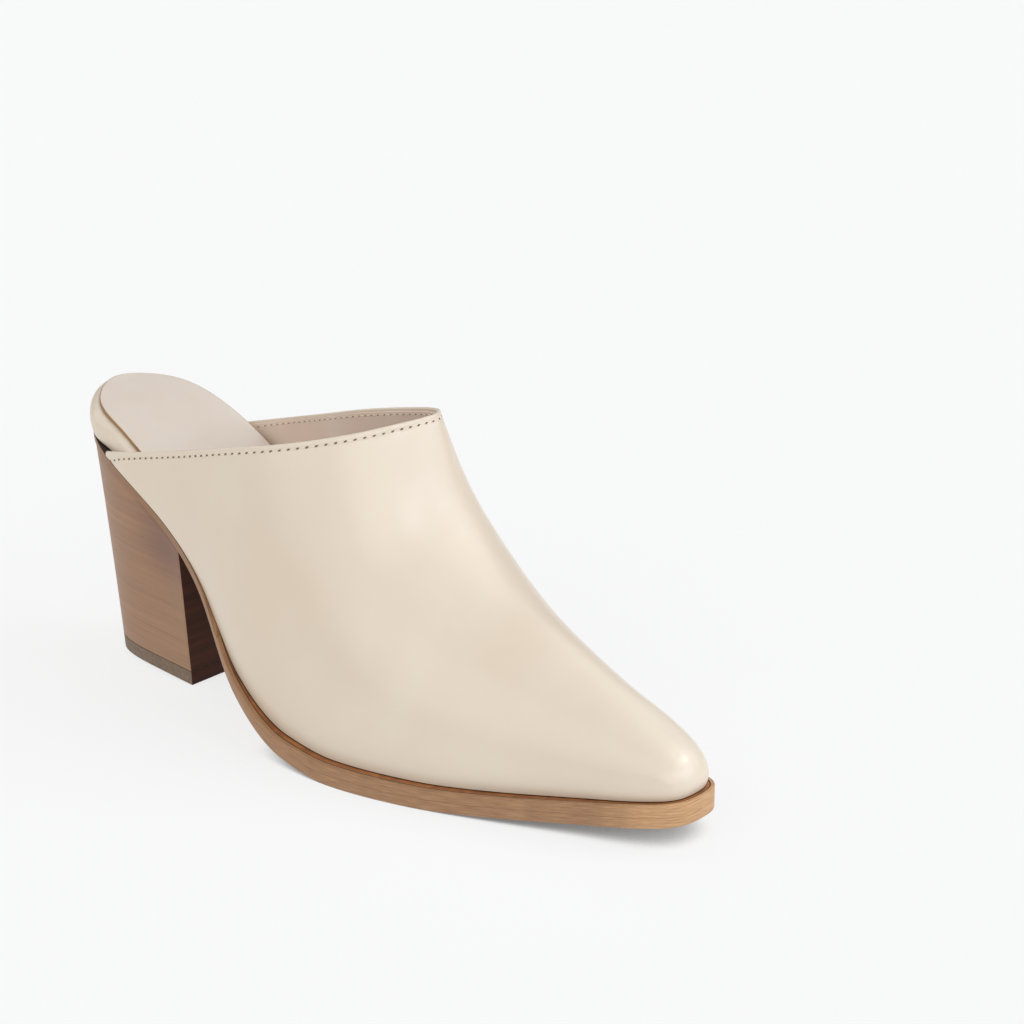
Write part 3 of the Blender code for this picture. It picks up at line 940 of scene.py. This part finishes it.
def shellMesh(name, surface, depth, wall, materialNames, puff=None):
    # wall of the sheet between two depths, with its top and rear edges rounded like a fold
    points, quads, ring, feathered, topline = surface
    normals = surfaceNormals(points, quads)
    gap, along = toLine(points, points[topline])
    fromEnd = np.minimum(along, along.max() - along)
    gap = gap / (1 + (vamp["rearWidening"] - 1) * np.exp(-(fromEnd / vamp["wideningLength"]) ** 2))
    outer = points - normals * depth
    if puff is not None:
        outer = outer + normals * puff(gap)[:, None]
    inner = points - normals * (depth + wall)
    work = bmesh.new()
    outerVerts = [work.verts.new(p) for p in outer]
    innerVerts = [work.verts.new(p) for p in inner]
    for quad in quads:
        work.faces.new([outerVerts[k] for k in quad])
        work.faces.new([innerVerts[k] for k in quad[::-1]])
    place = points[ring]
    tangent = unit(np.roll(place, -1, axis=0) - np.roll(place, 1, axis=0))
    away = np.cross(tangent, normals[ring])
    away[:feathered] = 0
    rings = [[outerVerts[k] for k in ring]]
    centre = (outer[ring] + inner[ring]) / 2
    half = np.linalg.norm(outer[ring] - inner[ring], axis=1)[:, None] / 2
    for angle in vamp["roundSteps"]:
        turn = math.radians(angle)
        rim = centre + normals[ring] * half * math.cos(turn) + away * half * math.sin(turn) * vamp["foldRise"]
        rings.append([work.verts.new(p) for p in rim])
    rings.append([innerVerts[k] for k in ring])
    joinRings(work, rings)
    return finishMesh(work, name, materialNames, 70), outer, normals, gap, along


def bandPuff(gap):
    # the folded band swells a little between the edge and the stitches, which pull a trough
    across = np.clip(gap / vamp["bandWidth"], 0, 1)
    swell = vamp["bandPuff"] * np.sqrt(np.clip(4 * across * (1 - across), 0, 1))
    trough = vamp["grooveDepth"] * np.exp(-((gap - vamp["bandWidth"]) / (vamp["grooveWidth"] / 2)) ** 2)
    return swell - trough


def lineAtGap(points, quads, gap, along, value):
    # the line that runs at one distance from the topline, found on the sheet's edges and put in order
    edges = np.unique(np.sort(np.vstack([quads[:, [k, (k + 1) % 4]] for k in range(4)]), axis=1), axis=0)
    a, b = edges.T
    crossing = (gap[a] - value) * (gap[b] - value) < 0
    a, b = a[crossing], b[crossing]
    t = ((value - gap[a]) / (gap[b] - gap[a]))[:, None]
    found = points[a] + (points[b] - points[a]) * t
    order = np.argsort(along[a] + (along[b] - along[a]) * t[:, 0])
    found = found[order]
    span = vamp["lineSpan"]
    kernel = np.ones(span) / span
    padded = np.vstack([np.repeat(found[:1], span // 2, 0), found, np.repeat(found[-1:], span // 2, 0)])
    return np.stack([np.convolve(padded[:, k], kernel, "valid") for k in range(3)], 1)


def evenPlaces(line, pitch):
    # places spread evenly along a line, about a pitch apart, and the line's direction there
    lengths = lineLengths(line)
    count = int(lengths[-1] / pitch)
    at = (np.arange(count) + 0.5) * lengths[-1] / count
    reach = pitch * 0.3
    direction = pointsAt(at + reach, lengths, line) - pointsAt(at - reach, lengths, line)
    return pointsAt(at, lengths, line), unit(direction)


stitching = {
    "pitch": 0.0030,
    "length": 0.0020,
    "thread": 0.00038,          # thread diameter
    "threadRise": -0.0000335,   # the thread's middle line lies a little under the leather
    "beadSides": 8,
    "beadShares": (-1, -0.93, -0.75, -0.4, 0, 0.4, 0.75, 0.93, 1),
    "slant": 20,                # degrees that the needle's slits lean
    "holeLength": 0.00110,
    "holeWidth": 0.00055,
    "holeRise": 0.00010,
    "holeDepth": 0.0004,
    "holeCrown": 0.00003,
    "holeSides": 12,
    "taperPower": 3.2,          # how late a bead thins towards its ends
    "taperEnd": 0.03,           # square of its thinnest share
    "endDip": 0.6,              # and how far its ends dip, as a share of its radius
    "underside": 0.65,          # how large the slits are where the needle comes out, as a share
}


def addBead(work, base, direction, cross, normal):
    # one stitch: a thread that thins and dips at both ends
    radius = stitching["thread"] / 2
    half = stitching["length"] / 2
    sides = stitching["beadSides"]
    rings = []
    for share in stitching["beadShares"]:
        thin = radius * math.sqrt(max(1 - abs(share) ** stitching["taperPower"], stitching["taperEnd"]))
        middle = base + direction * half * share
        dip = normal * radius * stitching["endDip"] * share ** 4
        ring = []
        for k in range(sides):
            turn = 2 * math.pi * k / sides
            away = cross * math.cos(turn) + normal * math.sin(turn)
            ring.append(work.verts.new(middle - dip + away * thin))
        rings.append(ring)
    joinRings(work, rings)
    work.faces.new(rings[0])
    work.faces.new(rings[-1][::-1])


def addHole(work, place, direction, cross, normal, size):
    # one slit: a flat lens with a deep underside
    slant = math.radians(stitching["slant"])
    long = direction * math.cos(slant) + cross * math.sin(slant)
    wide = np.cross(normal, long) * stitching["holeWidth"]
    long = long * stitching["holeLength"]
    sides = stitching["holeSides"]
    rim = []
    for k in range(sides):
        turn = 2 * math.pi * k / sides
        reach = long * math.cos(turn) + wide * math.sin(turn)
        rim.append(work.verts.new(place + reach * size / 2))
    low = work.verts.new(place - normal * stitching["holeDepth"])
    high = work.verts.new(place + normal * stitching["holeCrown"])
    for k in range(sides):
        work.faces.new((rim[k], rim[(k + 1) % sides], high))
        work.faces.new((rim[(k + 1) % sides], rim[k], low))


def stitchRow(name, line, normalAt, slot, facing, holeSize=1.0):
    # one thread bead per stitch, and between two beads a dark patch of painted shade for the needle hole
    centres, directions = evenPlaces(line, stitching["pitch"])
    beads = bmesh.new()
    holes = bmesh.new()
    for centre, direction in zip(centres, directions):
        spot, normal = normalAt(centre)
        normal = normal * facing
        cross = unit(np.cross(normal, direction))
        addBead(beads, spot + normal * stitching["threadRise"], direction, cross, normal)
        place, normal = normalAt(centre + direction * stitching["pitch"] / 2)
        normal = normal * facing
        addHole(holes, place + normal * stitching["holeRise"], direction, cross, normal, holeSize)
    addPiece(name + "Thread", finishMesh(beads, name + "Thread", ("thread",)), slot)
    addPiece(name + "Holes", finishMesh(holes, name + "Holes", ("hole",)), slot)
    return len(centres)


def surfaceLookup(points, normals):
    # place on the sheet and its normal there, averaged over the nearest vertices
    tree = KDTree(len(points))
    for i, p in enumerate(points):
        tree.insert(p, i)
    tree.balance()

    def read(place):
        near = tree.find_n(place, 6)
        weights = np.array([1 / (d + 1e-5) for _, _, d in near])
        index = [i for _, i, _ in near]
        normal = unit((normals[index] * weights[:, None]).sum(axis=0))
        lift = float(np.average([(points[i] - place) @ normal for i in index], weights=weights))
        return np.asarray(place) + normal * lift, normal

    return read


def buildUpper():
    surface = vampSurface(vamp["leatherDrop"])
    mesh, outer, normals, gap, along = shellMesh("vamp", surface, 0.0, vamp["leather"], ("cream",), bandPuff)
    addPiece("vampLeather", mesh, "cream_leather", "upper")
    print("vamp leather:", len(mesh.polygons), "faces")
    line = lineAtGap(outer, surface[1], gap, along, vamp["bandWidth"])
    count = stitchRow("topline", line, surfaceLookup(outer, normals), "cream_leather", 1)
    surface = vampSurface(vamp["liningDrop"])
    depth = vamp["leather"] + vamp["liningGap"]
    mesh, _, normals, gap, along = shellMesh("lining", surface, depth, vamp["lining"], ("liner",))
    addPiece("vampLining", mesh, "liner_leather")
    inner = surface[0] - normals * (depth + vamp["lining"])
    line = lineAtGap(inner, surface[1], gap, along, vamp["liningBand"])
    lookup = surfaceLookup(inner, normals)
    count += stitchRow("lining", line, lookup, "liner_leather", -1, stitching["underside"])
    print("upper made,", count, "stitches")


buildUpper()

# Camera, floor and lights. The camera stands where the photograph was taken from, in the solids' frame
camera = {
    "place": (0.7059, -0.5813, 0.3883),     # from the last's zero point, metres
    "pitch": 21.0,
    "azimuth": 42.0,
    "lens": 98.44,                          # millimetres
    "sensor": 36.0,
    "nearest": 0.02,
}
studio = {
    "floorSize": 14.0,
    "floorTone": "#6C6C6C",
    "floorGlow": 0.78,          # the paper glows, which keeps the shadows soft and small
    "contactReach": 0.016,      # metres over which the painted contact shadow darkens the paper next to the shoe
    "contactDepth": 0.80,
    "contactOpen": (0.12, 0.50),
    "white": "#FFFFFF",
    "worldStrength": 0.25,
}
# Broad lights with no falloff over the floor: direction they come from, strength, spread in degrees, tone
lights = {
    "outerSide": ((-0.10, -0.80, 0.60), 0.92, 50, "#FFFFFF"),
    "heelEnd": ((-0.85, -0.25, 0.45), 0.60, 45, "#FFFFFF"),
    "front": ((0.75, -0.50, 0.45), 0.90, 40, "#FFFFFF"),
    "toeEnd": ((0.90, 0.50, 0.40), 0.85, 35, "#E8F2FF"),
    "throatSide": ((0.79, 0.04, 0.60), 0.55, 20, "#E8F2FF"),
    "innerTop": ((0.41, 0.58, 0.70), 0.80, 42, "#FFFFFF"),
    "back": ((-0.50, 0.50, 0.70), 0.50, 50, "#FFFFFF"),
}
# A small spot that gives the toe its highlight, in metres, watts and degrees
toeSpot = {
    "target": (0.235, 0.018, 0.030),        # the toe's tip, from the last's zero point
    "direction": (0.41, 0.58, 0.70),
    "distance": 0.8,
    "power": 3.2,
    "radius": 0.05,
    "cone": 13,
}


def addLight(name, kind, power, place, direction):
    # a light at a place, shining from a direction
    lamp = bpy.data.lights.new(name, kind)
    lamp.energy = power
    holder = addObject(name, lamp)
    holder.location = place
    holder.rotation_euler = (-direction).to_track_quat("-Z", "Y").to_euler()
    return lamp


def placeLights():
    for name, (direction, strength, spread, tone) in lights.items():
        lamp = addLight(name, "SUN", strength, direction, Vector(direction))
        lamp.angle = math.radians(spread)
        lamp.color = linearColor(tone)[:3]
    direction = Vector(toeSpot["direction"]).normalized()
    place = Vector(toeSpot["target"]) + shift + direction * toeSpot["distance"]
    lamp = addLight("toeSpot", "SPOT", toeSpot["power"], place, direction)
    lamp.shadow_soft_size = toeSpot["radius"]
    lamp.spot_size = math.radians(toeSpot["cone"])
    lamp.spot_blend = 1.0


def placeCamera():
    view = bpy.data.cameras.new("camera")
    view.lens = camera["lens"]
    view.sensor_width = camera["sensor"]
    view.clip_start = camera["nearest"]
    eye = addObject("camera", view)
    eye.location = Vector(camera["place"]) + shift
    eye.rotation_euler = (math.radians(90 - camera["pitch"]), 0, math.radians(camera["azimuth"]))
    bpy.context.scene.camera = eye
    bpy.context.scene.view_settings.view_transform = "Standard"


# White studio paper, matt, with a glow that fades where the shoe stands close to it: that fade is a painted
# contact shadow
def studioPaper():
    tone = linearColor(studio["floorTone"])
    material, tree, surface = newMaterial("studio paper, white, matt", Base_Color=tone, Roughness=0.9,
                                          Specular_IOR_Level=0.0, Emission_Color=linearColor(studio["white"]))
    # how open the paper is around each point drives the painted contact shadow
    clear = addNode(tree, "ShaderNodeAmbientOcclusion", {"Distance": studio["contactReach"]}, samples=8)
    low = studio["floorGlow"] * (1 - studio["contactDepth"])
    glow = valueRange(tree, clear.outputs["AO"], *studio["contactOpen"], low, studio["floorGlow"], "LINEAR")
    tree.links.new(glow, surface.inputs["Emission Strength"])
    return material


def buildStudio():
    placeCamera()
    half = studio["floorSize"] / 2
    corners = [(-half, -half, 0), (half, -half, 0), (half, half, 0), (-half, half, 0)]
    floorMesh = bpy.data.meshes.new("floor")
    floorMesh.from_pydata(corners, [], [(0, 1, 2, 3)])
    floorMesh.materials.append(studioPaper())
    addObject("floor", floorMesh)
    world = bpy.data.worlds.new("studio")
    world.use_nodes = True
    back = world.node_tree.nodes["Background"]
    back.inputs["Color"].default_value = linearColor(studio["white"])
    back.inputs["Strength"].default_value = studio["worldStrength"]
    bpy.context.scene.world = world
    placeLights()


buildStudio()
print("studio ready")
